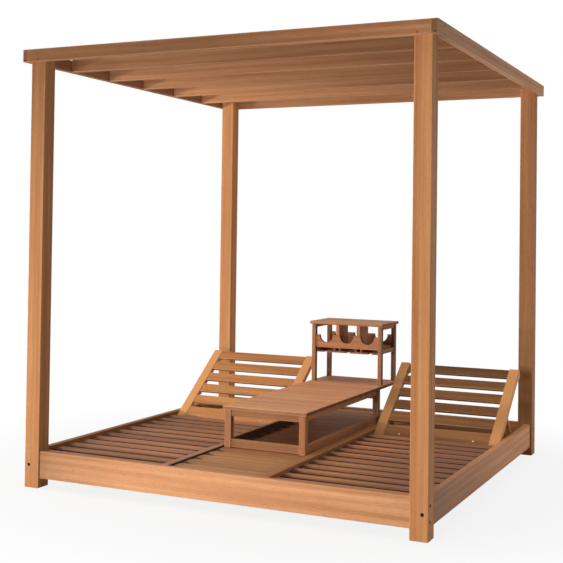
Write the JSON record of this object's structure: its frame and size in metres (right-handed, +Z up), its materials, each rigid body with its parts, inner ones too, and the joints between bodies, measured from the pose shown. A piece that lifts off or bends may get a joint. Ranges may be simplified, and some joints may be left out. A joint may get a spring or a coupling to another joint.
{
  "type": "outdoor daybed with canopy",
  "caption": "Slatted wooden outdoor daybed with a four-post rafter canopy, two reclining backs and a sliding centre table that carries a bottle and stemware rack.",
  "frame": {"origin": "centre of the rectangle of the four post feet, on the floor", "axes": "+X to the right seen from the front, +Y to the back, +Z up"},
  "size_m": [2.08, 2.08, 2.11],
  "materials": {
    "post_wood": "oiled hardwood, satin",
    "rail_wood": "oiled hardwood, satin",
    "deck_wood": "oiled hardwood, satin",
    "back_wood": "oiled hardwood, satin",
    "slat_wood": "oiled hardwood, satin",
    "table_wood": "oiled hardwood, satin",
    "rack_wood": "oiled hardwood, satin",
    "steel": "zinc plated"
  },
  "bodies": {
    "back_left": {"backrest_left_bottom_board": "slat_wood", "backrest_left_slat_1": "slat_wood", "backrest_left_slat_2": "slat_wood", "backrest_left_slat_3": "slat_wood", "backrest_left_slat_4": "slat_wood", "backrest_left_slat_5": "slat_wood", "backrest_left_stile_inner": "back_wood", "backrest_left_stile_outer": "back_wood"},
    "back_right": {"backrest_right_bottom_board": "slat_wood", "backrest_right_slat_1": "slat_wood", "backrest_right_slat_2": "slat_wood", "backrest_right_slat_3": "slat_wood", "backrest_right_slat_4": "slat_wood", "backrest_right_slat_5": "slat_wood", "backrest_right_stile_inner": "back_wood", "backrest_right_stile_outer": "back_wood"},
    "table": {"bottle_board_front": "rack_wood", "bottle_board_rear": "rack_wood", "rack_side_left": "rack_wood", "rack_side_right": "rack_wood", "rack_top": "rack_wood", "stemware_shelf": "rack_wood", "table_apron_front": "table_wood", "table_apron_rear": "table_wood", "table_side_left": "table_wood", "table_side_right": "table_wood", "table_stretcher_front": "table_wood", "table_top": "table_wood"},
    "bed": {"canopy_board_front": "rail_wood", "canopy_board_left": "rail_wood", "canopy_board_rear": "rail_wood", "canopy_board_right": "rail_wood", "deck_left": "deck_wood", "deck_middle": "deck_wood", "deck_right": "deck_wood", "mid_rail_left": "rail_wood", "mid_rail_right": "rail_wood", "notched_strip_left_inner": "rail_wood", "notched_strip_left_outer": "rail_wood", "notched_strip_right_inner": "rail_wood", "notched_strip_right_outer": "rail_wood", "pivot_bolt_left_inner": "steel", "pivot_bolt_left_outer": "steel", "pivot_bolt_right_inner": "steel", "pivot_bolt_right_outer": "steel", "post_front_left": "post_wood", "post_front_right": "post_wood", "post_rear_left": "post_wood", "post_rear_right": "post_wood", "rafter_1": "rail_wood", "rafter_2": "rail_wood", "rafter_3": "rail_wood", "rafter_4": "rail_wood", "rafter_5": "rail_wood", "rail_front": "rail_wood", "rail_left": "rail_wood", "rail_rear": "rail_wood", "rail_right": "rail_wood"},
    "prop_left": {"prop_frame_left": "back_wood"},
    "prop_right": {"prop_frame_right": "back_wood"}
  },
  "joints": [
    {"name": "recline_left", "type": "hinge", "parent": "bed", "child": "back_left", "pos_m": [-0.621, 0.354, 0.145], "axis": [1, 0, 0], "range_deg": [-36.7, 8.3]},
    {"name": "prop_left", "type": "hinge", "parent": "back_left", "child": "prop_left", "pos_m": [-0.621, 0.54634, 0.25843], "axis": [1, 0, 0], "range_deg": [-20, 86]},
    {"name": "recline_right", "type": "hinge", "parent": "bed", "child": "back_right", "pos_m": [0.621, 0.354, 0.145], "axis": [1, 0, 0], "range_deg": [-36.7, 8.3]},
    {"name": "prop_right", "type": "hinge", "parent": "back_right", "child": "prop_right", "pos_m": [0.621, 0.54634, 0.25843], "axis": [1, 0, 0], "range_deg": [-20, 86]},
    {"name": "table_slide", "type": "slide", "parent": "bed", "child": "table", "axis": [0, 1, 0], "range_m": [-0.5, 0.08]}
  ],
  "couplings": [
    {"joint": "prop_left", "follows": "recline_left", "ratio": -2.3115},
    {"joint": "prop_right", "follows": "recline_right", "ratio": -2.3115}
  ]
}
